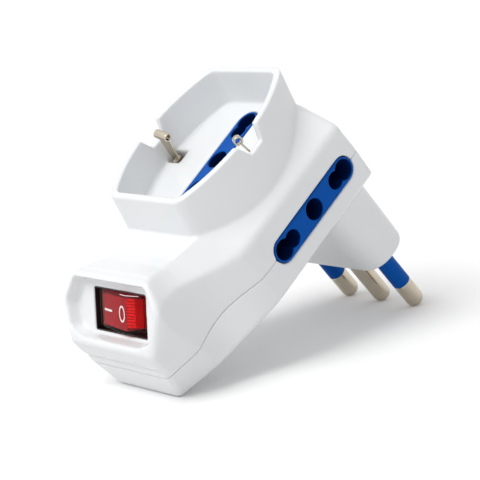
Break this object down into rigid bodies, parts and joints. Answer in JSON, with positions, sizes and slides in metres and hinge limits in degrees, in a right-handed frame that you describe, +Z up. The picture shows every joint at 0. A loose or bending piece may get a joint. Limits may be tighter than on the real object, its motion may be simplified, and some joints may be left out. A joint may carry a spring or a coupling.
{
  "type": "multi socket adapter",
  "caption": "Plug-in socket adapter with a row of round pins, an earthed well socket, flush side sockets and a lit rocker switch in a sloping head.",
  "frame": {"origin": "centre of the base of the resting object: it stands on its pin tips and on the low back edge of its switch head", "axes": "+X along the row of pins and out of the right side socket, +Z up in the resting pose, -Y towards the switch"},
  "size_m": [0.0484, 0.089, 0.071],
  "materials": {
    "white_shell": "glossy moulded shell, fine polish",
    "blue_insert": "satin moulded insert",
    "pin_metal": "nickel plated, turned or rolled",
    "contact_brass": "rolled strip",
    "dark_case": "dull moulded case",
    "red_lens": "clear tinted lens",
    "lamp_glass": "clear glow lamp",
    "resistor_body": "lacquered body"
  },
  "bodies": {
    "rocker": {"switch_rocker": "red_lens", "rocker_diffuser": "red_lens"},
    "lever": {"contact_lever": "contact_brass"},
    "casing": {"front_cover": "white_shell", "rear_cover": "white_shell", "well_insert": "blue_insert", "side_insert_right": "blue_insert", "side_insert_left": "blue_insert", "line_pin": "pin_metal", "neutral_pin": "pin_metal", "earth_pin": "pin_metal", "line_pin_sleeve": "blue_insert", "neutral_pin_sleeve": "blue_insert", "earth_bow": "pin_metal", "earth_bar": "contact_brass", "line_bar": "contact_brass", "neutral_bar": "contact_brass", "line_link_in": "contact_brass", "line_link_out": "contact_brass", "neutral_link": "contact_brass", "earth_link": "contact_brass", "switch_housing": "dark_case", "feed_terminal": "contact_brass", "switched_terminal": "contact_brass", "neon_lamp": "lamp_glass", "lamp_resistor": "resistor_body"}
  },
  "joints": [
    {"name": "rocker_tip", "type": "hinge", "parent": "casing", "child": "rocker", "pos_m": [0, -0.03533, 0.02044], "axis": [0, 0.155, 0.9879], "range_deg": [0, 16]},
    {"name": "lever_tip", "type": "hinge", "parent": "casing", "child": "lever", "pos_m": [0, -0.0293, 0.01949], "axis": [0, 0.155, 0.9879], "range_deg": [-9.6, 0]}
  ],
  "couplings": [
    {"joint": "lever_tip", "follows": "rocker_tip", "ratio": -0.6}
  ]
}
